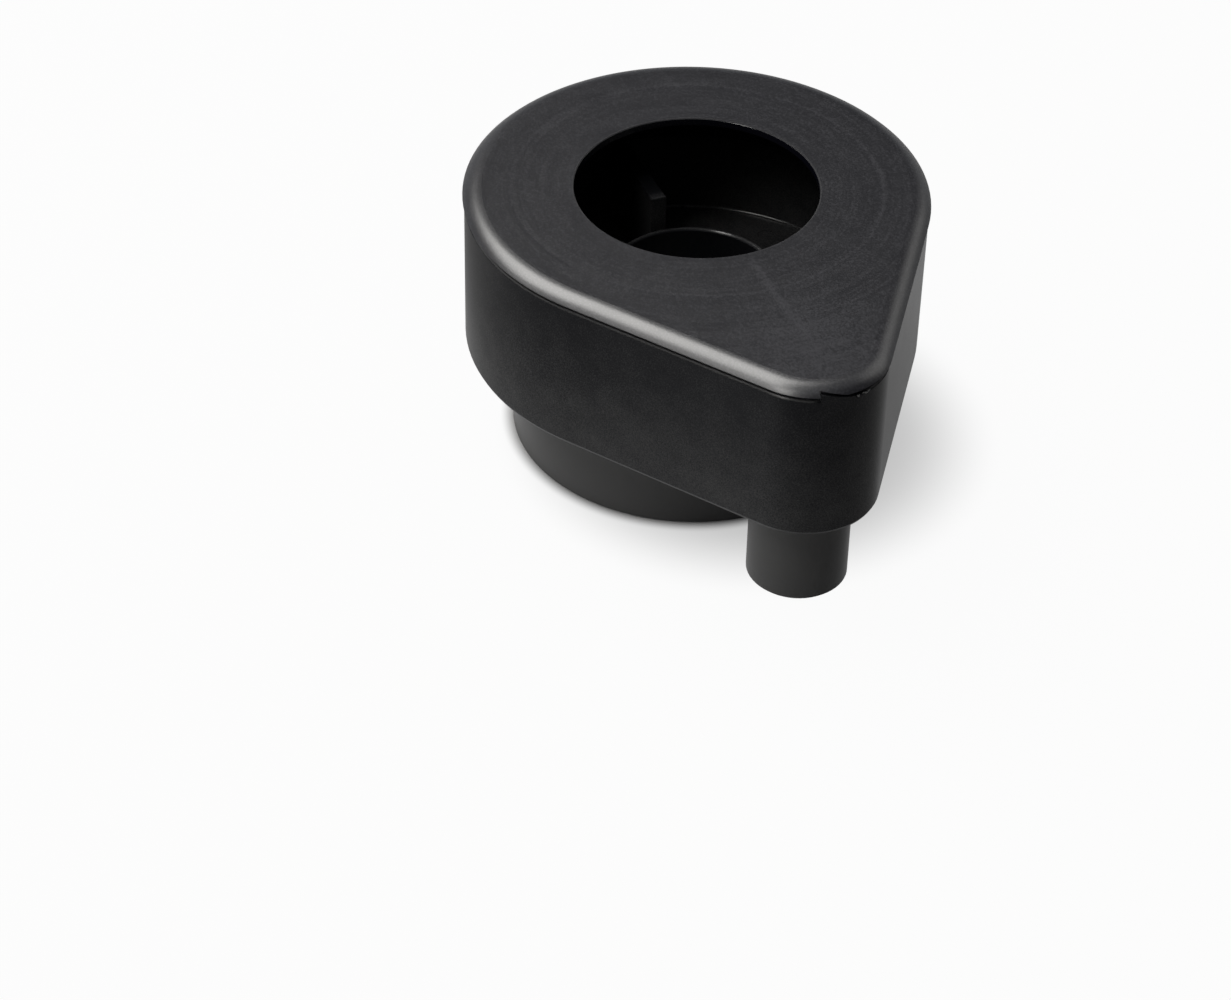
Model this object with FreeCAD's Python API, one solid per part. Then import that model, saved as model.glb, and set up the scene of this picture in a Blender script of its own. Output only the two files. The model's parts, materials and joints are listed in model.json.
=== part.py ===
"""Rainwater diverter housing: a teardrop collector body closed by a teardrop cover.

Millimetres. The origin is on the downpipe axis, in the plane of the socket's lower end.
+Z points up the downpipe, and +X points from the downpipe to the outlet.
"""
import FreeCAD, Part
import math
import os

from FreeCAD import Vector

# Overall form
overall_height = 90.6
cover_radius = 74.5
nose_radius = 24.4
outlet_reach = 87.9

# Cover
pipe_hole_radius = 39.2
pipe_hole_edge = 0.3
cover_thickness = 2.5
cover_edge_width = 6.1
cover_edge_depth = 2.7
cover_overhang = 0.55
lip_clearance = 0.25
lip_thickness = 1.8
lip_depth = 6.0
lip_lead_in = 0.8
ring_rib_radius = 60.0
ring_rib_thickness = 2.0
ring_rib_depth = 5.0

# Collector body
wall = 2.5
shadow_gap = 1.8
rim_edge = 0.5
underside_depth = 55.6
underside_edge_width = 0.5
underside_edge_height = 1.0
floor_thickness = 2.5
floor_corner = 2.0

# Locating key on the nose of the rim: a land that steps up on one side and slopes away to the other
key_step = -7.0
key_end = 3.9
key_rise = 2.3
key_gap = 1.1
key_play = 0.4

# Lower pipe socket
socket_radius = 58.35
socket_wall = 3.0
socket_depth = 30.0
socket_stop = 2.5
socket_edge = 0.5

# Outlet spigot
spigot_radius = 16.0
spigot_wall = 2.5
spigot_end = 1.7
spigot_lead_in = 1.1
outlet_countersink = 2.0

# Overflow upstand
upstand_radius = 28.6
upstand_wall = 1.8
upstand_rim_depth = 35.3
upstand_rim_edge = 0.6

# Guide wall round the collecting trough
guide_radius = 66.0
guide_wall = 2.0
guide_foot = 1.5
guide_clearance = 0.3
guide_gap_width = 40.0

# Pipe stop ribs
rib_angles = (60.0, 180.0, 300.0)
rib_width = 5.3
rib_top_depth = 23.5
rib_drain_slot = 1.2
rib_edge = 0.6

# Ejector pin marks on the trough floor
pin_mark_angles = (-130.0, -30.0, 30.0, 130.0)
pin_mark_reach = 56.0
pin_mark_radius = 3.0
pin_mark_depth = 0.4

# Heights, insets and angles that follow from the sizes above
cover_underside = overall_height - cover_thickness
cover_edge_height = overall_height - cover_edge_depth
rim_height = cover_edge_height - shadow_gap
underside_height = overall_height - underside_depth
floor_height = underside_height + floor_thickness
floor_middle = underside_height + floor_thickness / 2
upstand_rim = overall_height - upstand_rim_depth
rib_top = overall_height - rib_top_depth
seat_inset = cover_overhang + wall / 2
lip_inset = cover_overhang + wall + lip_clearance
hollow_inset = lip_inset + lip_thickness
tangent_angle = math.degrees(math.acos((cover_radius - nose_radius) / outlet_reach))

up = Vector(0, 0, 1)
axis_foot = Vector(0, 0, 0)
outlet_foot = Vector(outlet_reach, 0, 0)


def teardrop_face(inset, height):
    """Flat teardrop at a height: two arcs joined by their outer tangents, drawn in by an inset."""
    round_end = cover_radius - inset
    nose = nose_radius - inset
    across = math.cos(math.radians(tangent_angle))
    along = math.sin(math.radians(tangent_angle))
    round_left = Vector(round_end * across, round_end * along, height)
    round_right = Vector(round_end * across, -round_end * along, height)
    nose_left = Vector(outlet_reach + nose * across, nose * along, height)
    nose_right = Vector(outlet_reach + nose * across, -nose * along, height)
    tail_tip = Vector(-round_end, 0, height)
    nose_tip = Vector(outlet_reach + nose, 0, height)
    edges = [
        Part.Arc(round_left, tail_tip, round_right).toShape(),
        Part.LineSegment(round_right, nose_right).toShape(),
        Part.Arc(nose_right, nose_tip, nose_left).toShape(),
        Part.LineSegment(nose_left, round_left).toShape(),
    ]
    return Part.Face(Part.Wire(edges))


def teardrop_prism(inset, bottom, top):
    """Upright teardrop block between two heights."""
    return teardrop_face(inset, bottom).extrude(up * (top - bottom))


def teardrop_ring(outer_inset, inner_inset, bottom, top):
    """Upright teardrop band between two insets and two heights."""
    return teardrop_prism(outer_inset, bottom, top).cut(teardrop_prism(inner_inset, bottom, top))


def carried_round(section):
    """Upright section drawn at the cover's radius on +X, carried along the whole teardrop outline."""
    left = section.copy()
    left.rotate(axis_foot, up, tangent_angle)
    right = section.copy()
    right.rotate(axis_foot, up, -tangent_angle)
    nose = section.copy()
    nose.translate(Vector(outlet_reach + nose_radius - cover_radius, 0, 0))
    nose.rotate(outlet_foot, up, -tangent_angle)
    drop = (cover_radius - nose_radius) * math.cos(math.radians(tangent_angle))
    sway = (cover_radius - nose_radius) * math.sin(math.radians(tangent_angle))
    round_end = left.revolve(axis_foot, up, 360 - 2 * tangent_angle)
    nose_end = nose.revolve(outlet_foot, up, 2 * tangent_angle)
    left_flank = left.extrude(Vector(outlet_reach - drop, -sway, 0))
    right_flank = right.extrude(Vector(outlet_reach - drop, sway, 0))
    return round_end.fuse([left_flank, nose_end, right_flank])


def edges_at_height(shape, height):
    """Edges that lie level at a height."""
    return [
        edge for edge in shape.Edges
        if abs(edge.BoundBox.ZMin - height) < 0.01 and abs(edge.BoundBox.ZMax - height) < 0.01
    ]


def cylinder(radius, bottom, top, foot=axis_foot):
    """Upright cylinder between two heights, over a foot point."""
    return Part.makeCylinder(radius, top - bottom, foot + up * bottom)


def tube(outer_radius, inner_radius, bottom, top):
    """Upright round tube on the downpipe axis."""
    return cylinder(outer_radius, bottom, top).cut(cylinder(inner_radius, bottom, top))


def key_block(lift, play):
    """Block over the nose with a top that slopes from the key's step to its end, raised by a lift."""
    low = rim_height - 1
    corners = [
        Vector(outlet_reach, key_step - play, low),
        Vector(outlet_reach, key_step - play, rim_height + key_rise + lift),
        Vector(outlet_reach, key_end + play, rim_height + lift),
        Vector(outlet_reach, key_end + play, low),
    ]
    side = Part.Face(Part.makePolygon(corners + corners[:1]))
    return side.extrude(Vector(2 * nose_radius, 0, 0))


def make_cover_edge():
    """Soft edge of the cover: an arc that leaves the flat top smoothly, carried round the teardrop."""
    arc_radius = (cover_edge_width ** 2 + cover_edge_depth ** 2) / (2 * cover_edge_depth)
    half_turn = math.atan2(cover_edge_depth, cover_edge_width)
    flat_end = cover_radius - cover_edge_width
    outer = Vector(cover_radius, 0, cover_edge_height)
    middle = Vector(flat_end + arc_radius * math.sin(half_turn), 0,
                    overall_height - arc_radius * (1 - math.cos(half_turn)))
    top = Vector(flat_end, 0, overall_height)
    foot = Vector(flat_end, 0, cover_edge_height)
    curve = Part.Arc(outer, middle, top).toShape()
    sides = Part.makePolygon([top, foot, outer])
    return carried_round(Part.Face(Part.Wire([curve] + sides.Edges)))


def make_cover():
    """Cover plate with its soft edge, seat, locating lip, ring rib and downpipe hole."""
    middle = teardrop_prism(cover_edge_width, cover_edge_height, overall_height)
    key_notch = teardrop_ring(-1, seat_inset, rim_height, overall_height)
    key_notch = key_notch.common(key_block(key_gap, key_play))
    cap = make_cover_edge().fuse(middle).removeSplitter().cut(key_notch)

    seat = teardrop_prism(seat_inset, rim_height, cover_underside)
    lip = teardrop_prism(lip_inset, rim_height - lip_depth, cover_underside)
    lip = lip.makeChamfer(lip_lead_in, edges_at_height(lip, rim_height - lip_depth))
    hollow = teardrop_prism(hollow_inset, 0, cover_underside)
    ring_rib = tube(ring_rib_radius, ring_rib_radius - ring_rib_thickness,
                    cover_underside - ring_rib_depth, cover_underside + cover_thickness / 2)

    cover = cap.fuse([seat, lip]).cut(hollow).fuse(ring_rib)
    cover = cover.cut(cylinder(pipe_hole_radius, rim_height, overall_height + 1)).removeSplitter()
    hole_edges = [
        edge for edge in edges_at_height(cover, overall_height)
        if abs(edge.BoundBox.XMax - pipe_hole_radius) < 0.01
    ]
    return cover.makeChamfer(pipe_hole_edge, hole_edges)


def make_tray():
    """Teardrop tray: upright wall on a level floor."""
    outside = teardrop_prism(cover_overhang, underside_height, rim_height)
    outside = outside.makeChamfer(underside_edge_height, underside_edge_width,
                                  edges_at_height(outside, underside_height))
    outside = outside.makeChamfer(rim_edge, edges_at_height(outside, rim_height))
    inside = teardrop_prism(cover_overhang + wall, floor_height, rim_height + 1)
    inside = inside.makeChamfer(floor_corner, edges_at_height(inside, floor_height))
    return outside.cut(inside)


def make_rim_key():
    """Land on the nose of the rim, which fits the notch in the cover's edge."""
    land = teardrop_ring(cover_overhang, seat_inset - lip_clearance, rim_height - 1, overall_height)
    return land.common(key_block(0, 0))


def make_socket():
    """Socket tube that the lower pipe fits into, blind until its bores are cut."""
    socket = cylinder(socket_radius, 0, floor_middle)
    return socket.makeChamfer(socket_edge, edges_at_height(socket, 0))


def make_spigot():
    """Outlet spigot that a hose pushes over, blind until its bore is cut."""
    spigot = cylinder(spigot_radius, spigot_end, floor_middle, outlet_foot)
    return spigot.makeChamfer(spigot_lead_in, edges_at_height(spigot, spigot_end))


def make_upstand():
    """Overflow upstand: a short thin tube on the floor, with its rim broken inside and out."""
    upstand = tube(upstand_radius, upstand_radius - upstand_wall, floor_middle, upstand_rim)
    return upstand.makeChamfer(upstand_rim_edge, edges_at_height(upstand, upstand_rim))


def make_guide_wall():
    """Guide wall round the trough with a rounded foot, open towards the outlet."""
    top = cover_underside - guide_clearance
    trough = cylinder(guide_radius, floor_height, overall_height)
    trough = trough.makeFillet(guide_foot, edges_at_height(trough, floor_height))
    outside = cylinder(guide_radius + guide_wall, floor_middle, top)
    gap = Part.makeBox(2 * cover_radius, guide_gap_width, overall_height,
                       Vector(0, -guide_gap_width / 2, floor_height))
    return outside.cut([trough, gap])


def make_stop_rib(angle):
    """Radial rib from the guide wall towards the upstand, on which the downpipe's end rests."""
    inner = upstand_radius + rib_drain_slot
    outer = guide_radius + guide_wall / 2
    foot = Vector(inner, -rib_width / 2, floor_middle)
    rib = Part.makeBox(outer - inner, rib_width, rib_top - floor_middle, foot)
    top_edges = [edge for edge in edges_at_height(rib, rib_top) if edge.BoundBox.XMin < outer - 0.01]
    rib = rib.makeFillet(rib_edge, top_edges)
    rib.rotate(axis_foot, up, angle)
    return rib


def make_pin_mark(angle):
    """Shallow round sink that an ejector pin leaves in the trough floor."""
    turn = math.radians(angle)
    foot = Vector(math.cos(turn), math.sin(turn), 0) * pin_mark_reach
    return cylinder(pin_mark_radius, floor_height - pin_mark_depth, rib_top, foot)


def make_body_bores():
    """Water ways and pipe seats that are cut through the body."""
    socket_bore = socket_radius - socket_wall
    spigot_bore = spigot_radius - spigot_wall
    seat = cylinder(socket_bore, -1, socket_depth)
    over_stop = cylinder(socket_bore - socket_stop, -1, underside_height)
    overflow = cylinder(upstand_radius - upstand_wall, -1, overall_height)
    outlet = cylinder(spigot_bore, -1, overall_height, outlet_foot)
    mouth = Part.makeCone(spigot_bore, spigot_bore + 2 * outlet_countersink, 2 * outlet_countersink,
                          outlet_foot + up * (floor_height - outlet_countersink))
    return [seat, over_stop, overflow, outlet, mouth]


def make_collector_body():
    """Collector body: tray, socket, spigot, upstand, guide wall and ribs in one moulding."""
    additions = [make_rim_key(), make_socket(), make_spigot(), make_upstand(), make_guide_wall()]
    additions += [make_stop_rib(angle) for angle in rib_angles]
    cuts = make_body_bores()
    cuts += [make_pin_mark(angle) for angle in pin_mark_angles]
    return make_tray().fuse(additions).cut(cuts).removeSplitter()


os.makedirs("parts", exist_ok=True)
for name, shape in (("cover", make_cover()), ("collector_body", make_collector_body())):
    shape.exportStep(f"parts/{name}.step")
    box = shape.optimalBoundingBox(False)
    print(name, shape.isValid(), len(shape.Solids), f"{shape.Volume:.0f} mm3",
          f"{box.XLength:.1f} x {box.YLength:.1f} x {box.ZLength:.1f}")
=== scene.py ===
"""Looks of a rainwater diverter housing: a satin black cover on a satin black collector body.

Metres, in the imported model's frame: the origin is on the downpipe axis, in the plane of the lower
socket's end, +Z points up the downpipe and +X points to the outlet. Finishes count in millimetres.
"""
from __future__ import annotations

import json
import logging
import math
from dataclasses import dataclass
from enum import Enum
from typing import Any, Mapping, Union

import bmesh
import bpy
import numpy as np
from mathutils import Matrix, Vector

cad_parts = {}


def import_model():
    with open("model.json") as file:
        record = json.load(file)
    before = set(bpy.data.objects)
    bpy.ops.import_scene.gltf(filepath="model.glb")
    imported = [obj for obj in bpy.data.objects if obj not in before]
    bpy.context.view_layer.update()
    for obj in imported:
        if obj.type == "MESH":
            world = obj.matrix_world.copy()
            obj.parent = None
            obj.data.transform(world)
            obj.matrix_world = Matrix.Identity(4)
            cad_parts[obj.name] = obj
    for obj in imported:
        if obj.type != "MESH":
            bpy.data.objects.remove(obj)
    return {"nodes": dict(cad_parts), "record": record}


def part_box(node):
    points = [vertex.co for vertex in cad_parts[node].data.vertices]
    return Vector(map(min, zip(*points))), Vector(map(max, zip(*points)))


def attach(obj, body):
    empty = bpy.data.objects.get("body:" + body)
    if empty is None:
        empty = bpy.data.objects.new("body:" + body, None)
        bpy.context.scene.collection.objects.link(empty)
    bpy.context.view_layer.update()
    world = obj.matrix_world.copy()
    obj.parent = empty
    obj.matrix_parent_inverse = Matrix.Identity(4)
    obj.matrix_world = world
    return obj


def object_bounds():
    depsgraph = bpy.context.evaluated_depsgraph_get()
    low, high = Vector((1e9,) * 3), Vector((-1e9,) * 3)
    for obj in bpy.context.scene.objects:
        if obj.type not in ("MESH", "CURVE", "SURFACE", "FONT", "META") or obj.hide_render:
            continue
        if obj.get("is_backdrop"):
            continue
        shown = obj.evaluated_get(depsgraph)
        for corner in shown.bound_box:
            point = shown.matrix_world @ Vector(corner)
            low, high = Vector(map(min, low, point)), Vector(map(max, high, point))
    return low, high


log = logging.getLogger("rainwater_diverter")

MILLIMETRE = 0.001
WELD_DISTANCE = 1e-7

# The photograph's size in pixels
IMAGE_WIDTH = 1231
IMAGE_HEIGHT = 1000

# Rim of the body below the cover's top, flash past the rim, and floor below the part
RIM_DEPTH = 0.0045
FLASH_REACH = 0.0002
FLOOR_GAP = 0.00005

SKY_COLOUR = (0.95, 0.97, 1.0, 1.0)

Operand = Union["Signal", float]
Colour = tuple[float, float, float]
Direction = tuple[float, float, float]
Span = tuple[float, float]


class Slot(Enum):
    """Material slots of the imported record."""

    COVER = "cover_plastic"
    BODY = "body_plastic"


class Signal:
    """One output socket of a node tree, with Python's arithmetic as Math nodes."""

    def __init__(self, bench: "NodeBench", socket: bpy.types.NodeSocket) -> None:
        """Keep the socket and the bench that adds nodes after it."""
        self.bench = bench
        self.socket = socket

    def maths(self, operation: str, *operands: Operand) -> "Signal":
        """Add a Math node.

        Args:
            operation: the Math node's operation.
            operands: numbers or signals, in the node's order.

        Returns:
            The node's result.
        """
        return self.bench.node("ShaderNodeMath", {"operation": operation}, dict(enumerate(operands)))

    def larger(self, other: Operand) -> "Signal":
        """The larger of two values."""
        return self.maths("MAXIMUM", self, other)

    def __add__(self, other: Operand) -> "Signal":
        """Sum of two values."""
        return self.maths("ADD", self, other)

    def __radd__(self, other: float) -> "Signal":
        """Sum with a number on the left."""
        return self.maths("ADD", other, self)

    def __sub__(self, other: Operand) -> "Signal":
        """Difference of two values."""
        return self.maths("SUBTRACT", self, other)

    def __rsub__(self, other: float) -> "Signal":
        """Difference with a number on the left."""
        return self.maths("SUBTRACT", other, self)

    def __mul__(self, other: Operand) -> "Signal":
        """Product of two values."""
        return self.maths("MULTIPLY", self, other)

    def __rmul__(self, other: float) -> "Signal":
        """Product with a number on the left."""
        return self.maths("MULTIPLY", other, self)

    def __truediv__(self, other: Operand) -> "Signal":
        """Quotient of two values."""
        return self.maths("DIVIDE", self, other)

    def __pow__(self, other: Operand) -> "Signal":
        """Power of a value."""
        return self.maths("POWER", self, other)

    def __abs__(self) -> "Signal":
        """Size of a value without its sign."""
        return self.maths("ABSOLUTE", self)


class NodeBench:
    """Adds nodes and links to one node tree."""

    def __init__(self, tree: bpy.types.NodeTree) -> None:
        """Start from an empty tree."""
        self.tree = tree
        tree.nodes.clear()

    def node(
        self,
        kind: str,
        settings: Mapping[str, Any] | None = None,
        inputs: Mapping[Union[int, str], Any] | None = None,
        output: Union[int, str] = 0,
    ) -> Signal:
        """Add a node, set it up and feed it.

        Args:
            kind: the node's type.
            settings: the node's own properties, set before its sockets.
            inputs: a value or a signal for each socket that is not left as it is.
            output: the output socket to hand on.

        Returns:
            The chosen output.
        """
        made = self.tree.nodes.new(kind)
        for name, value in (settings or {}).items():
            setattr(made, name, value)
        for key, value in (inputs or {}).items():
            if isinstance(value, Signal):
                self.tree.links.new(value.socket, made.inputs[key])
            else:
                made.inputs[key].default_value = value
        return Signal(self, made.outputs[output])

    def close(self, kind: str, shader: Signal) -> None:
        """Feed a shader to the tree's output node of a kind."""
        made = self.tree.nodes.new(kind)
        self.tree.links.new(shader.socket, made.inputs["Surface"])

    def place(self) -> Signal:
        """Object coordinates in metres."""
        return self.node("ShaderNodeTexCoord", output="Object")

    def scaled(self, vector: Signal, factor: float) -> Signal:
        """A vector times a number."""
        return self.node("ShaderNodeVectorMath", {"operation": "SCALE"}, {0: vector, "Scale": factor})

    def dot(self, vector: Signal, other: Vector) -> Signal:
        """Dot product of a vector signal and a fixed vector."""
        settings = {"operation": "DOT_PRODUCT"}
        return self.node("ShaderNodeVectorMath", settings, {0: vector, 1: other}, "Value")

    def split(self, vector: Signal) -> tuple[Signal, Signal, Signal]:
        """Take a vector apart.

        Args:
            vector: the vector signal.

        Returns:
            Its three parts.
        """
        first = self.node("ShaderNodeSeparateXYZ", inputs={0: vector})
        sockets = first.socket.node.outputs
        return first, Signal(self, sockets[1]), Signal(self, sockets[2])

    def joined(self, x: Operand, y: Operand, z: Operand) -> Signal:
        """A vector from three values."""
        return self.node("ShaderNodeCombineXYZ", inputs={0: x, 1: y, 2: z})

    def length(self, x: Signal, y: Signal) -> Signal:
        """Length of a level vector from its two parts."""
        return (x * x + y * y) ** 0.5

    def noise(self, vector: Signal, scale: float, detail: float) -> Signal:
        """Smooth noise about 0, from -0.5 to 0.5.

        Args:
            vector: where the noise is read.
            scale: features for each unit of the vector.
            detail: how many finer layers are added.

        Returns:
            The noise value.
        """
        sockets = {"Vector": vector, "Scale": scale, "Detail": detail}
        return self.node("ShaderNodeTexNoise", inputs=sockets) - 0.5

    def ramp(self, value: Signal, low: float, high: float) -> Signal:
        """Smooth step from 0 at one value to 1 at another."""
        sockets = {"Value": value, "From Min": low, "From Max": high, "To Min": 0.0, "To Max": 1.0}
        return self.node("ShaderNodeMapRange", {"interpolation_type": "SMOOTHSTEP"}, sockets)

    def line(self, value: Signal, centre: float, half_width: float) -> Signal:
        """Smooth bump that is 1 where a value is at a centre and 0 beyond a half width."""
        return 1.0 - self.ramp(abs(value - centre), 0.0, half_width)

    def blended(self, factor: Operand, first: Any, second: Any) -> Signal:
        """Mix of two colours."""
        return self.node("ShaderNodeMix", {"data_type": "RGBA"}, {0: factor, 6: first, 7: second}, 2)


@dataclass(frozen=True)
class Mark:
    """What a mark adds to the plastic that it lies on.

    Args:
        tone: what it adds to the tone.
        roughness: what it adds to the roughness.
        relief: what it adds to the height, in millimetres.
        gloss: what it adds to the smoother skin.
    """

    tone: float = 0.0
    roughness: float = 0.0
    relief: float = 0.0
    gloss: float = 0.0


def added(value: Operand, amount: float, where: Signal) -> Operand:
    """A value plus an amount of a mask, or the value alone where the amount is nothing."""
    return value + amount * where if amount else value


@dataclass
class Surface:
    """What changes over a plastic surface.

    Args:
        tone: 0 for the darker colour and 1 for the lighter one.
        roughness: the shader's roughness.
        relief: height in millimetres.
        gloss: how far a smoother skin covers the plastic.
    """

    tone: Operand
    roughness: Operand
    relief: Operand
    gloss: Operand = 0.0

    def marked(self, where: Signal, mark: Mark) -> "Surface":
        """Lay a mark on the surface.

        Args:
            where: 1 on the mark and 0 off it.
            mark: what it adds there.

        Returns:
            The marked surface.
        """
        return Surface(
            added(self.tone, mark.tone, where),
            added(self.roughness, mark.roughness, where),
            added(self.relief, mark.relief, where),
            added(self.gloss, mark.gloss, where),
        )


@dataclass(frozen=True, kw_only=True)
class SatinPlastic:
    """Satin black moulded plastic with a fine even grain.

    Args:
        name: the material's name.
        dark: colour of the darker spots.
        light: colour of the lighter spots.
        roughness: mean roughness.
        specular: the shader's specular level.
        ior: the plastic's index of refraction.
        base_tone: mean tone, from 0 for the darker colour to 1 for the lighter one.
        grain_size: width of the grain in millimetres.
        grain_depth: depth of the grain in millimetres.
        grain_tone: how far the grain changes the tone.
        mottle_size: width of the soft cloudy spots in millimetres.
        mottle_tone: how far the cloudy spots change the tone.
        mottle_roughness: how far the cloudy spots change the roughness.
        skin_roughness: roughness of the smoother skin where there is one.
    """

    name: str
    dark: Colour
    light: Colour
    roughness: float
    specular: float
    ior: float = 1.5
    base_tone: float = 0.5
    grain_size: float = 0.45
    grain_depth: float = 0.012
    grain_tone: float = 0.65
    mottle_size: float = 9.0
    mottle_tone: float = 0.3
    mottle_roughness: float = 0.04
    skin_roughness: float = 0.20

    def surface(self, bench: NodeBench, place: Signal) -> Surface:
        """Cloudy spots and fine grain.

        Args:
            bench: where the nodes go.
            place: object coordinates in millimetres.

        Returns:
            The surface's tone, roughness and relief.
        """
        mottle = bench.noise(place, 1 / self.mottle_size, detail=3.0)
        grain = bench.noise(place, 1 / self.grain_size, detail=1.0)
        tone = self.base_tone + self.mottle_tone * mottle + self.grain_tone * grain
        roughness = self.roughness + self.mottle_roughness * mottle
        return Surface(tone, roughness, self.grain_depth * grain)

    def material(self) -> bpy.types.Material:
        """Build the finish's nodes.

        Returns:
            The material.
        """
        made = bpy.data.materials.new(self.name)
        made.use_nodes = True
        bench = NodeBench(made.node_tree)
        surface = self.surface(bench, bench.scaled(bench.place(), 1 / MILLIMETRE))
        tone = bench.ramp(surface.tone, 0.0, 1.0)
        colour = bench.blended(tone, (*self.dark, 1.0), (*self.light, 1.0))
        bump = bench.node("ShaderNodeBump", inputs={"Distance": MILLIMETRE, "Height": surface.relief})
        shader = bench.node("ShaderNodeBsdfPrincipled", inputs={
            "Base Color": colour,
            "Roughness": surface.roughness,
            "Specular IOR Level": self.specular,
            "IOR": self.ior,
            "Coat Weight": surface.gloss,
            "Coat Roughness": self.skin_roughness,
            "Normal": bump,
        })
        bench.close("ShaderNodeOutputMaterial", shader)
        return made


@dataclass(frozen=True, kw_only=True)
class LidPlastic(SatinPlastic):
    """Satin black plastic of the cover, with the marks that moulding and cutting leave on it, painted
    shade in the hole, and a paler spot by the nose.

    Lengths are in millimetres, and rates are features for each millimetre. A fade is where a mark
    starts and stops to change, from the place that it belongs to.

    Args:
        hole_radius: radius of the downpipe hole.
        sink_radius: radius of the faint sink over the ring rib below.
        nose_centre: centre of the nose, from the axis.
        swirl_rate: rate of the swirl marks outwards.
        swirl_turn: how often the swirl marks change round the hole.
        edge_fade: where the hole's matt chamfer and its painted shade end, from the hole.
        wall_fade: where the hole's smooth wall ends, from the hole.
        sink_width: half width of the sink.
        knit_width: half width of the knit line, where two flows of plastic met.
        knit_wander: how far the knit line strays, from side to side.
        knit_wander_rate: rate at which it strays.
        knit_start: fade of the knit line from the hole.
        knit_end: fade of the knit line from the nose's centre.
        nose_spot_fade: fade of the paler spot from the nose's centre.
        speck_rate: rate of the places for specks.
        speck_fade: fade of a speck, as a share of the distance between two places.
        patch_rate: rate of the patches that have specks.
        patch_fade: noise values between which a patch gets its specks.
        swirl: what the swirl marks add.
        knit: what the knit line adds.
        sink: what the sink adds.
        nose_spot: what the paler spot by the nose adds.
        speck: what a speck adds.
        cut_edge_painted_shade: what the chamfer and the wall of the hole add: roughness, and painted shade
            as a darker tone.
        cut_wall: what the wall of the hole adds to that.
    """

    hole_radius: float
    sink_radius: float
    nose_centre: float
    swirl_rate: float = 0.8
    swirl_turn: float = 1.3
    edge_fade: Span = (0.30, 0.45)
    wall_fade: Span = (0.0, 0.06)
    sink_width: float = 1.8
    knit_width: float = 2.0
    knit_wander: float = 1.6
    knit_wander_rate: float = 0.09
    knit_start: Span = (0.0, 8.0)
    knit_end: Span = (-25.0, 16.0)
    nose_spot_fade: Span = (2.0, 34.0)
    speck_rate: float = 0.11
    speck_fade: Span = (0.02, 0.05)
    patch_rate: float = 0.05
    patch_fade: Span = (0.05, 0.12)
    swirl: Mark = Mark(tone=0.6, roughness=0.05)
    knit: Mark = Mark(tone=0.40, relief=0.01)
    sink: Mark = Mark(tone=0.18, relief=-0.02)
    nose_spot: Mark = Mark(tone=0.36)
    speck: Mark = Mark(tone=0.6)
    cut_edge_painted_shade: Mark = Mark(tone=-0.6, roughness=0.66)
    cut_wall: Mark = Mark(roughness=-0.86)

    def surface(self, bench: NodeBench, place: Signal) -> Surface:
        """Grain, swirl marks, a sink ring, a knit line, a paler spot by the nose, specks, and painted
        shade on the hole's cut edge.

        Args:
            bench: where the nodes go.
            place: object coordinates in millimetres.

        Returns:
            The surface's tone, roughness and relief.
        """
        surface = super().surface(bench, place)
        x, y, _ = bench.split(place)
        reach = bench.length(x, y)
        turn_x = x / reach * self.swirl_turn
        turn_y = y / reach * self.swirl_turn
        swirl = bench.noise(bench.joined(reach * self.swirl_rate, turn_x, turn_y), 1.0, detail=3.0)
        # Painted shade: the hole's chamfer and wall are darker; the chamfer is matt and the wall smooth.
        cut_edge_painted_shade = 1.0 - bench.ramp(reach - self.hole_radius, *self.edge_fade)
        cut_wall = 1.0 - bench.ramp(reach - self.hole_radius, *self.wall_fade)
        sink = bench.line(reach, self.sink_radius, self.sink_width)
        wander = self.knit_wander * bench.noise(place, self.knit_wander_rate, detail=1.0)
        knit = bench.line(y + wander, 0.0, self.knit_width)
        knit = knit * bench.ramp(x - self.hole_radius, *self.knit_start)
        knit = knit * (1.0 - bench.ramp(x - self.nose_centre, *self.knit_end))
        nose_spot = 1.0 - bench.ramp(bench.length(x - self.nose_centre, y), *self.nose_spot_fade)
        cells = bench.node("ShaderNodeTexVoronoi", inputs={"Vector": place, "Scale": self.speck_rate})
        speck = 1.0 - bench.ramp(cells, *self.speck_fade)
        speck = speck * bench.ramp(bench.noise(place, self.patch_rate, detail=0.0), *self.patch_fade)
        surface = surface.marked(swirl, self.swirl).marked(knit, self.knit).marked(sink, self.sink)
        surface = surface.marked(nose_spot, self.nose_spot).marked(speck, self.speck)
        return surface.marked(cut_edge_painted_shade, self.cut_edge_painted_shade).marked(cut_wall, self.cut_wall)


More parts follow.
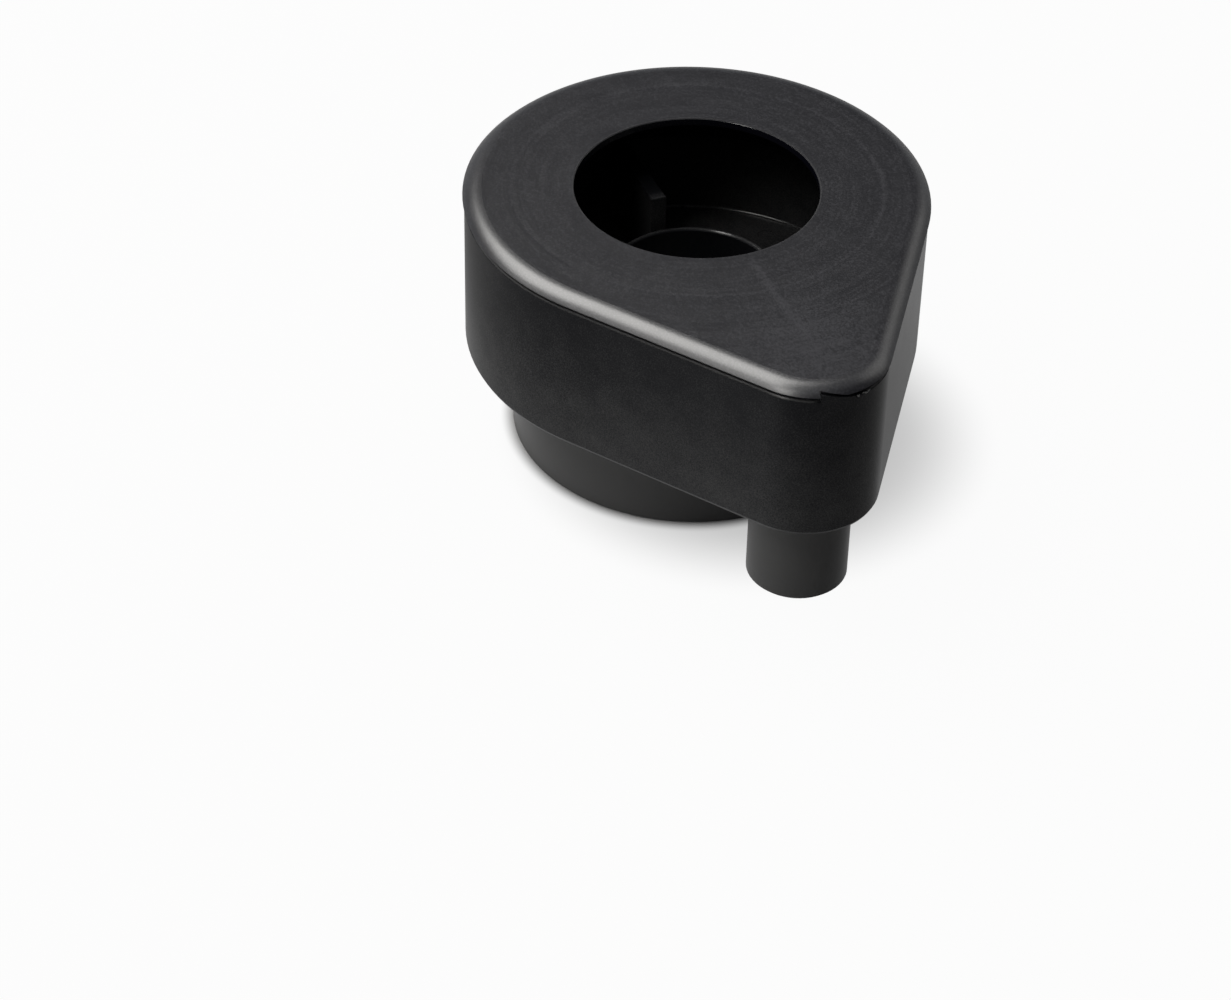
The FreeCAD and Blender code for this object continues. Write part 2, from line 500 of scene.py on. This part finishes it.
@dataclass(frozen=True, kw_only=True)
class BodyPlastic(SatinPlastic):
    """Satin black plastic of the collector body: paler below and in the trough as painted light, smoother
    inside, painted shade in the overflow and on the rib tops, a painted highlight on the rim's edge.

    Lengths are in millimetres. A fade is where a change starts and ends, from the place that it
    belongs to.

    Args:
        underside: height of the tray's underside.
        rim: height of the tray's rim.
        trough_radius: radius inside the guide wall.
        overflow_radius: radius inside the overflow.
        rib_top: height of the stop ribs.
        rib_end: where the stop ribs start, from the axis.
        key_reach: where the key on the rim's nose starts, from the axis.
        below_fade: fade of the paler socket and spigot up to the underside.
        trough_fade: fade of the smooth trough outwards, from the guide wall.
        floor_fade: fade of the smooth trough upwards, from the underside.
        edge_width: half width of the smooth edge of the rim, which carries a painted highlight.
        key_fade: fade of that edge before the key.
        bore_fade: fade of the overflow's painted shade outwards.
        rib_top_fade: fade of the painted shade on the rib tops, where they also lose the smooth skin,
            upwards from the ribs' height.
        rib_fade: fade of the painted shade on the rib tops, where they also lose the smooth skin, outwards
            from the ribs' ends.
        low: what the wall adds towards its foot: a paler tone, painted light.
        below: what the socket and the spigot add: a paler tone, painted light.
        inside: what the trough adds: a slightly paler tone, painted light.
        smooth: what the smooth skin of the trough adds.
        edge: what the edge of the rim adds: a smoother skin, and a painted highlight in a paler tone.
        bore: what the inside of the overflow adds: painted shade in a darker tone.
        rib_top_painted_shade: what the rib tops add: painted shade in a darker tone.
    """

    underside: float
    rim: float
    trough_radius: float
    overflow_radius: float
    rib_top: float
    rib_end: float
    key_reach: float
    below_fade: Span = (-0.8, 0.0)
    trough_fade: Span = (0.3, 0.9)
    floor_fade: Span = (1.0, 2.0)
    edge_width: float = 0.6
    key_fade: Span = (-1.0, 0.0)
    bore_fade: Span = (0.1, 0.5)
    rib_top_fade: Span = (-1.0, -0.3)
    rib_fade: Span = (1.5, 5.5)
    low: Mark = Mark(tone=0.27)
    below: Mark = Mark(tone=0.65)
    inside: Mark = Mark(tone=0.04)
    smooth: Mark = Mark(gloss=1.0)
    edge: Mark = Mark(tone=0.9, gloss=0.8)
    bore: Mark = Mark(tone=-0.4)
    rib_top_painted_shade: Mark = Mark(tone=-0.5)

    def surface(self, bench: NodeBench, place: Signal) -> Surface:
        """Grain on a wall that pales downwards as painted light, a smooth trough with painted shade on the
        rib tops and in the overflow, and a smooth rim edge with a painted highlight.

        Args:
            bench: where the nodes go.
            place: object coordinates in millimetres.

        Returns:
            The surface's tone, roughness, relief and gloss.
        """
        surface = super().surface(bench, place)
        x, y, z = bench.split(place)
        reach = bench.length(x, y)
        above = z - self.underside
        # Painted light: the wall pales towards its foot.
        low = 1.0 - bench.ramp(z, self.underside, self.rim)
        # Painted light: the socket and the spigot are paler.
        below = 1.0 - bench.ramp(above, *self.below_fade)
        # Painted light: the trough is a little paler; its smooth skin is real gloss.
        inside = 1.0 - bench.ramp(reach - self.trough_radius, *self.trough_fade)
        inside = inside * bench.ramp(above, *self.floor_fade)
        # Painted highlight: the rim's edge is paler, besides its smoother skin.
        edge = bench.line(z, self.rim, self.edge_width)
        edge = edge * (1.0 - bench.ramp(x - self.key_reach, *self.key_fade))
        # Painted shade: the overflow is darker.
        bore = 1.0 - bench.ramp(reach - self.overflow_radius, *self.bore_fade)
        # Painted shade: the rib tops away from their ends are darker, and lose the smooth skin.
        rib_top_painted_shade = inside * bench.ramp(z - self.rib_top, *self.rib_top_fade)
        rib_top_painted_shade = rib_top_painted_shade * bench.ramp(reach - self.rib_end, *self.rib_fade)
        smooth = inside * (1.0 - bore) * (1.0 - rib_top_painted_shade)
        surface = surface.marked(low, self.low).marked(below, self.below).marked(inside, self.inside)
        surface = surface.marked(smooth, self.smooth).marked(edge, self.edge)
        return surface.marked(bore, self.bore).marked(rib_top_painted_shade, self.rib_top_painted_shade)


def grid_mesh(name: str, points: np.ndarray) -> bpy.types.Mesh:
    """Make a mesh of a surface that is worked out on a grid whose last column joins the first.

    Face corners follow the grid: (i, j), (i + 1, j), (i + 1, j + 1), (i, j + 1). A row that falls
    on one point is welded into a pole.

    Args:
        name: the mesh's name.
        points: places on the grid, shape (rows, columns, 3).

    Returns:
        The mesh.
    """
    rows, columns = points.shape[:2]
    number = np.arange(rows * columns).reshape(rows, columns)
    ahead = np.roll(number, -1, axis=1)
    corners = [number[:-1], number[1:], ahead[1:], ahead[:-1]]
    faces = np.stack([corner.ravel() for corner in corners], axis=1)
    mesh = bpy.data.meshes.new(name)
    mesh.from_pydata(points.reshape(-1, 3).tolist(), [], faces.tolist())
    welder = bmesh.new()
    welder.from_mesh(mesh)
    bmesh.ops.remove_doubles(welder, verts=welder.verts, dist=WELD_DISTANCE)
    welder.to_mesh(mesh)
    welder.free()
    mesh.shade_smooth()
    return mesh


def add_object(mesh: bpy.types.Mesh, material: bpy.types.Material) -> bpy.types.Object:
    """Put a mesh into the scene with one material.

    Args:
        mesh: the finished mesh.
        material: its finish.

    Returns:
        The new object.
    """
    made = bpy.data.objects.new(mesh.name, mesh)
    mesh.materials.append(material)
    bpy.context.scene.collection.objects.link(made)
    return made


def dress(node: bpy.types.Object, material: bpy.types.Material) -> None:
    """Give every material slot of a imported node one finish."""
    for slot in node.material_slots:
        slot.material = material


@dataclass
class Cover:
    """The teardrop cover with the downpipe hole.

    Args:
        node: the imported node.
        hole_radius: radius of the downpipe hole in metres.
        nose_centre: centre of the nose in metres from the axis.
        sink_radius: radius of the ring rib on the underside in metres.
    """

    node: bpy.types.Object
    hole_radius: float
    nose_centre: float
    sink_radius: float = 0.059

    def finish(self) -> LidPlastic:
        """Work out the cover's plastic, with its marks placed from the cover's sizes.

        Returns:
            The finish.
        """
        return LidPlastic(
            name=Slot.COVER.value,
            dark=(0.0036, 0.0037, 0.0068),
            light=(0.0300, 0.0300, 0.0362),
            roughness=0.34,
            specular=0.95,
            ior=1.6,
            base_tone=0.25,
            grain_size=0.7,
            grain_tone=2.0,
            mottle_tone=0.2,
            hole_radius=self.hole_radius / MILLIMETRE,
            sink_radius=self.sink_radius / MILLIMETRE,
            nose_centre=self.nose_centre / MILLIMETRE,
        )

    def dress(self) -> None:
        """Give the cover its plastic."""
        dress(self.node, self.finish().material())
        log.info("cover dressed")


@dataclass
class CollectorBody:
    """The teardrop tray with its socket, spigot and inner walls.

    Args:
        node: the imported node.
        underside: height of the tray's underside in metres.
        rim: height of the tray's rim in metres.
        nose_tip: furthest reach of the rim towards the outlet in metres.
        key_depth: how far the key on the rim reaches in from the nose's tip, in metres.
        trough_radius: radius inside the guide wall in metres.
        overflow_radius: radius inside the overflow in metres.
        rib_top: height of the stop ribs in metres.
        rib_end: where the stop ribs start, in metres from the axis.
    """

    node: bpy.types.Object
    underside: float
    rim: float
    nose_tip: float
    key_depth: float = 0.0015
    trough_radius: float = 0.066
    overflow_radius: float = 0.0268
    rib_top: float = 0.0671
    rib_end: float = 0.0298

    def finish(self) -> BodyPlastic:
        """Work out the body's plastic, with its changes placed from the body's sizes.

        Returns:
            The finish.
        """
        return BodyPlastic(
            name=Slot.BODY.value,
            dark=(0.0095, 0.0098, 0.0118),
            light=(0.0900, 0.0900, 0.0908),
            roughness=0.40,
            specular=0.08,
            base_tone=0.14,
            underside=self.underside / MILLIMETRE,
            rim=self.rim / MILLIMETRE,
            trough_radius=self.trough_radius / MILLIMETRE,
            overflow_radius=self.overflow_radius / MILLIMETRE,
            rib_top=self.rib_top / MILLIMETRE,
            rib_end=self.rib_end / MILLIMETRE,
            key_reach=(self.nose_tip - self.key_depth) / MILLIMETRE,
        )

    def dress(self) -> None:
        """Give the body its plastic."""
        dress(self.node, self.finish().material())
        log.info("collector body dressed")


@dataclass
class FlashSliver:
    """A thin sliver of moulding flash that lies on the rim of the nose.

    Args:
        name: the piece's name.
        centre: centre of the nose at the rim's height, in metres.
        radius: radius of the sliver's middle line in metres.
        turn: where the sliver starts and ends round the nose, in degrees.
        thickness: half of the widest thickness in metres.
        flatness: height of the sliver as a share of its thickness.
        lift: how far it bends up and down, as a share of the thickness.
        bends: how often it bends.
    """

    name: str
    centre: Vector
    radius: float
    turn: Span
    thickness: float
    flatness: float = 0.6
    lift: float = 0.5
    bends: int = 3

    def finish(self) -> SatinPlastic:
        """Paler plastic than the body.

        Returns:
            The finish.
        """
        return SatinPlastic(
            name=self.name,
            dark=(0.150, 0.150, 0.149),
            light=(0.380, 0.380, 0.375),
            roughness=0.45,
            specular=0.5,
            mottle_size=0.8,
        )

    def build(self) -> None:
        """Lay the sliver as a tapered tube bent round the nose.

        P(u, a) = C + (R + t cos a) e(u) + (f t sin a + w) z, with t = T sin(pi u) and the lift
        w = l T sin(n pi u), where e(u) points outwards at the angle that u stands for, T is the
        thickness, f the flatness, l the lift and n the number of bends.
        """
        steps = 33
        sides = 12
        along = np.linspace(0.0, 1.0, steps)[:, None]
        around = np.linspace(0.0, 2 * math.pi, sides, endpoint=False)[None, :]
        first, last = np.radians(self.turn)
        angle = first + (last - first) * along
        half = self.thickness * np.sin(math.pi * along).clip(0.0)
        reach = self.radius + half * np.cos(around)
        bend = self.lift * self.thickness * np.sin(self.bends * math.pi * along)
        rise = self.flatness * half * np.sin(around) + bend
        places = [reach * np.cos(angle), reach * np.sin(angle), rise]
        points = np.stack(places, axis=2) + np.array(self.centre)
        sliver = add_object(grid_mesh(self.name, points), self.finish().material())
        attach(sliver, "root")
        log.info("%s laid", self.name)


@dataclass(frozen=True, kw_only=True)
class Softbox:
    """A large soft lamp that faces the object.

    Args:
        name: the lamp's name.
        way: direction from the object to the lamp as parts right, near and up.
        size: width and height of the lamp in metres.
        power: power of the lamp in watts.
        distance: how far the lamp stands in metres.
        colour: colour of the light.
    """

    name: str
    way: Direction
    size: tuple[float, float]
    power: float
    distance: float = 2.2
    colour: Colour = (1.0, 0.985, 0.955)

    def build(self, right: Vector, near: Vector) -> None:
        """Hang the lamp.

        Args:
            right: unit vector to the viewer's right, level.
            near: unit vector towards the viewer, level.
        """
        across, ahead, above = self.way
        way = (right * across + near * ahead + Vector((0.0, 0.0, above))).normalized()
        lamp = bpy.data.lights.new(self.name, "AREA")
        lamp.shape = "RECTANGLE"
        lamp.size, lamp.size_y = self.size
        lamp.energy = self.power
        lamp.color = self.colour
        made = bpy.data.objects.new(self.name, lamp)
        made.location = way * self.distance
        made.rotation_mode = "QUATERNION"
        made.rotation_quaternion = way.to_track_quat("Z", "Y")
        bpy.context.scene.collection.objects.link(made)
        log.info("%s hung", self.name)


KEY_LAMP = Softbox(name="key_lamp", way=(-0.424, -0.289, 0.858), size=(1.7, 1.5), power=44.0)
FRONT_LAMP = Softbox(name="front_lamp", way=(-0.416, 0.366, 0.832), size=(0.55, 0.55), power=7.2)
LEFT_LAMP = Softbox(name="left_lamp", way=(-0.90, 0.30, 0.17), size=(2.0, 0.6), power=10.5)
SIDE_LAMP = Softbox(name="side_lamp", way=(0.62, -0.48, 0.62), size=(1.3, 1.3), power=4.5)


@dataclass(kw_only=True)
class Studio:
    """Pale floor and soft light.

    Lengths are in metres. The sky's heights are sines of the angle above the level.

    Args:
        right: unit vector to the viewer's right, level.
        near: unit vector towards the viewer, level.
        floor_height: height of the floor.
        floor_reach: radius of the floor.
        floor_grey: how much light the matt floor sends back.
        floor_white: how much of the floor's seen colour is plain white, away from the object.
        white_start: where the plain white starts, from the axis.
        shade_shift: how far the shaded spot lies to the viewer's right and towards the viewer.
        shade_reach: where the shaded spot starts to fade and where it ends.
        shade_depth: how much of the plain white the shaded spot takes away.
        mirror_dim: how much of the plain white reflections lose where the floor is dim to them.
        front_dim: where that starts and is full, on the dim side of the room.
        back_dim: the same behind the object.
        left_dim: the same on the viewer's left.
        right_dim: the same on the viewer's right.
        right_dim_near: where the dim stretch on the right starts and is full, towards the viewer.
        right_share: how dim that stretch is, as a share of the others.
        lamps: the lamps.
        ceiling: strength of the light from above.
        ceiling_rise: heights between which the walls turn into the ceiling.
        zenith: what is added to the ceiling straight overhead.
        zenith_rise: heights between which that is added.
        walls: strength of the light from just over the horizon, on the viewer's left.
        dim_walls: the same on the dim side of the room.
        wall_turn: how far towards the dim side the walls start and stop to dim, from -1 to 1.
    """

    right: Vector
    near: Vector
    floor_height: float
    floor_reach: float = 12.0
    floor_grey: float = 0.4
    floor_white: float = 0.96
    white_start: Span = (0.057, 0.063)
    shade_shift: tuple[float, float] = (0.020, 0.010)
    shade_reach: Span = (0.045, 0.085)
    shade_depth: float = 0.45
    mirror_dim: float = 0.86
    front_dim: Span = (0.070, 0.130)
    back_dim: Span = (0.110, 0.150)
    left_dim: Span = (0.085, 0.125)
    right_dim: Span = (0.060, 0.110)
    right_dim_near: Span = (-0.080, -0.010)
    right_share: float = 0.5
    lamps: tuple[Softbox, ...] = (KEY_LAMP, FRONT_LAMP, LEFT_LAMP, SIDE_LAMP)
    ceiling: float = 0.03
    ceiling_rise: Span = (0.1, 0.45)
    zenith: float = 0.16
    zenith_rise: Span = (0.75, 0.95)
    walls: float = 0.4
    dim_walls: float = 0.10
    wall_turn: Span = (-0.5, 0.5)

    def dim_side(self) -> Vector:
        """Level unit vector to the dim side of the room, between the viewer's right and the viewer."""
        return (self.right + self.near).normalized()

    def whiteness(self, bench: NodeBench, place: Signal) -> Signal:
        """How plainly white the floor is: not under the object, and less in the shaded spot.

        Args:
            bench: where the nodes go.
            place: object coordinates of the floor.

        Returns:
            The share of plain white.
        """
        x, y, _ = bench.split(place)
        centre = self.right * self.shade_shift[0] + self.near * self.shade_shift[1]
        lit = bench.ramp(bench.length(x - centre.x, y - centre.y), *self.shade_reach)
        open_floor = bench.ramp(bench.length(x, y), *self.white_start)
        return open_floor * (1.0 - self.shade_depth * (1.0 - lit))

    def mirrored(self, bench: NodeBench, place: Signal) -> Signal:
        """How white reflections show the floor: dimmer in front, behind, on the left and the right.

        Args:
            bench: where the nodes go.
            place: object coordinates of the floor.

        Returns:
            The share of the floor's whiteness that reflections keep.
        """
        front = bench.ramp(bench.dot(place, self.dim_side()), *self.front_dim)
        behind = bench.ramp(bench.dot(place, -self.near), *self.back_dim)
        left = bench.ramp(bench.dot(place, -self.right), *self.left_dim)
        right = bench.ramp(bench.dot(place, self.right), *self.right_dim)
        right = right * bench.ramp(bench.dot(place, self.near), *self.right_dim_near)
        dim = front.larger(behind).larger(left).larger(self.right_share * right)
        return 1.0 - self.mirror_dim * dim

    def floor_finish(self) -> bpy.types.Material:
        """Matt floor that the camera and reflections see as plain white away from the object.

        Returns:
            The floor's material.
        """
        made = bpy.data.materials.new("studio_floor")
        made.use_nodes = True
        bench = NodeBench(made.node_tree)
        place = bench.place()
        camera = bench.node("ShaderNodeLightPath", output="Is Camera Ray")
        glossy = bench.node("ShaderNodeLightPath", output="Is Glossy Ray")
        clear = bench.node("ShaderNodeLightPath", output="Is Transmission Ray")
        seen = camera + glossy.larger(clear) * self.mirrored(bench, place)
        share = self.whiteness(bench, place) * seen * self.floor_white
        grey = (self.floor_grey, self.floor_grey, self.floor_grey, 1.0)
        matt = bench.node("ShaderNodeBsdfDiffuse", inputs={"Color": grey})
        white = bench.node("ShaderNodeEmission", inputs={"Strength": 1.0})
        shader = bench.node("ShaderNodeMixShader", inputs={0: share, 1: matt, 2: white})
        bench.close("ShaderNodeOutputMaterial", shader)
        return made

    def build_floor(self) -> None:
        """Lay the floor: a disc, P(r, a) = (r cos a, r sin a, height), with rings closer at the middle."""
        rings = 12
        spokes = 96
        reach = self.floor_reach * np.linspace(0.0, 1.0, rings)[:, None] ** 2
        turn = np.linspace(0.0, 2 * math.pi, spokes, endpoint=False)[None, :]
        height = np.full((rings, spokes), self.floor_height)
        points = np.stack([reach * np.cos(turn), reach * np.sin(turn), height], axis=2)
        floor = add_object(grid_mesh("studio_floor", points), self.floor_finish())
        floor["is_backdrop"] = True
        log.info("floor laid")

    def build_sky(self) -> None:
        """Light from all round: walls near the horizon, pale on the left, under a dim ceiling."""
        world = bpy.data.worlds.new("studio")
        bpy.context.scene.world = world
        world.use_nodes = True
        bench = NodeBench(world.node_tree)
        way = bench.node("ShaderNodeTexCoord", output="Generated")
        dim = bench.ramp(bench.dot(way, self.dim_side()), *self.wall_turn)
        walls = self.walls + (self.dim_walls - self.walls) * dim
        height = bench.split(way)[2]
        overhead = bench.ramp(height, *self.ceiling_rise)
        zenith = self.zenith * bench.ramp(height, *self.zenith_rise)
        strength = walls + (self.ceiling - walls) * overhead + zenith
        shader = bench.node("ShaderNodeBackground", inputs={"Color": SKY_COLOUR, "Strength": strength})
        bench.close("ShaderNodeOutputWorld", shader)
        log.info("sky lit")

    def build(self) -> None:
        """Make the whole studio."""
        self.build_floor()
        for lamp in self.lamps:
            lamp.build(self.right, self.near)
        self.build_sky()


@dataclass
class PhotoCamera:
    """Camera at the photograph's place.

    Args:
        target: point of the object that the view was fitted to, in metres.
        target_pixel: where that point is in the image.
        focal_pixels: focal length in pixels of the image.
        distance: depth of the target along the view, in metres.
        azimuth: turn of the view round the downpipe axis, in degrees.
        elevation: height of the view above the level, in degrees.
        roll: turn of the image about the view, in degrees.
        sensor_width: width of the sensor in millimetres.
        clip: nearest and furthest distance that is seen, in metres.
    """

    target: Vector
    target_pixel: tuple[float, float] = (696.98, 186.15)
    focal_pixels: float = 3373.25
    distance: float = 1.0709
    azimuth: float = 22.84
    elevation: float = 39.43
    roll: float = 1.40
    sensor_width: float = 36.0
    clip: Span = (0.01, 100.0)

    def level_axes(self) -> tuple[Vector, Vector]:
        """Work out the viewer's level directions.

        Returns:
            Unit vectors to the viewer's right and towards the viewer.
        """
        turn = math.radians(self.azimuth)
        right = Vector((math.sin(turn), math.cos(turn), 0.0))
        near = Vector((math.cos(turn), -math.sin(turn), 0.0))
        return right, near

    def axes(self) -> tuple[Vector, Vector, Vector]:
        """The image's right and up directions and the direction from the target to the camera.

        Returns:
            Three unit vectors at right angles.
        """
        level, near = self.level_axes()
        rise = math.radians(self.elevation)
        roll = math.radians(self.roll)
        back = near * math.cos(rise) + Vector((0.0, 0.0, math.sin(rise)))
        upright = back.cross(level)
        right = level * math.cos(roll) + upright * math.sin(roll)
        return right, back.cross(right), back

    def build(self) -> None:
        """Place the camera so that the target falls on its pixel."""
        right, up, back = self.axes()
        across = (self.target_pixel[0] - IMAGE_WIDTH / 2) / self.focal_pixels
        below = (self.target_pixel[1] - IMAGE_HEIGHT / 2) / self.focal_pixels
        eye = self.target - (right * across - up * below - back) * self.distance
        lens = bpy.data.cameras.new("photo_camera")
        lens.sensor_fit = "HORIZONTAL"
        lens.sensor_width = self.sensor_width
        lens.lens = self.focal_pixels / IMAGE_WIDTH * self.sensor_width
        lens.clip_start, lens.clip_end = self.clip
        made = bpy.data.objects.new("photo_camera", lens)
        turn = Matrix((right, up, back)).transposed().to_4x4()
        made.matrix_world = Matrix.Translation(eye) @ turn
        bpy.context.scene.collection.objects.link(made)
        bpy.context.scene.camera = made
        log.info("camera placed")


def main() -> None:
    """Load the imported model, then make the camera, the studio and the finishes."""
    logging.basicConfig(level=logging.INFO, format="%(name)s: %(message)s")
    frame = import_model()
    packed_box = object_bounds()
    bpy.context.scene.view_settings.view_transform = "Standard"

    mounts = {mount["name"]: mount for mount in frame["record"]["mounts"]}
    lowest, highest = packed_box
    camera = PhotoCamera(target=Vector((0.0, 0.0, highest.z)))
    camera.build()
    right, near = camera.level_axes()
    Studio(right=right, near=near, floor_height=lowest.z - FLOOR_GAP).build()

    hole_radius = mounts["upper_pipe_hole"]["dims"]["r_mm"] * MILLIMETRE
    outlet = mounts["outlet_spigot"]
    nose_centre = outlet["pos_m"][0]
    underside = outlet["pos_m"][2] + outlet["dims"]["length_mm"] * MILLIMETRE / 2
    Cover(frame["nodes"]["cover"], hole_radius, nose_centre).dress()
    rim = highest.z - RIM_DEPTH
    nose_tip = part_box("collector_body")[1].x
    CollectorBody(frame["nodes"]["collector_body"], underside, rim, nose_tip).dress()
    nose = Vector((nose_centre, 0.0, rim))
    rim_radius = nose_tip - nose_centre + FLASH_REACH
    FlashSliver("flash_speck", nose, rim_radius, turn=(9.5, 12.5), thickness=0.00045).build()
    FlashSliver("flash_strip", nose, rim_radius, turn=(14.0, 23.0), thickness=0.00035).build()


if __name__ == "__main__":
    main()
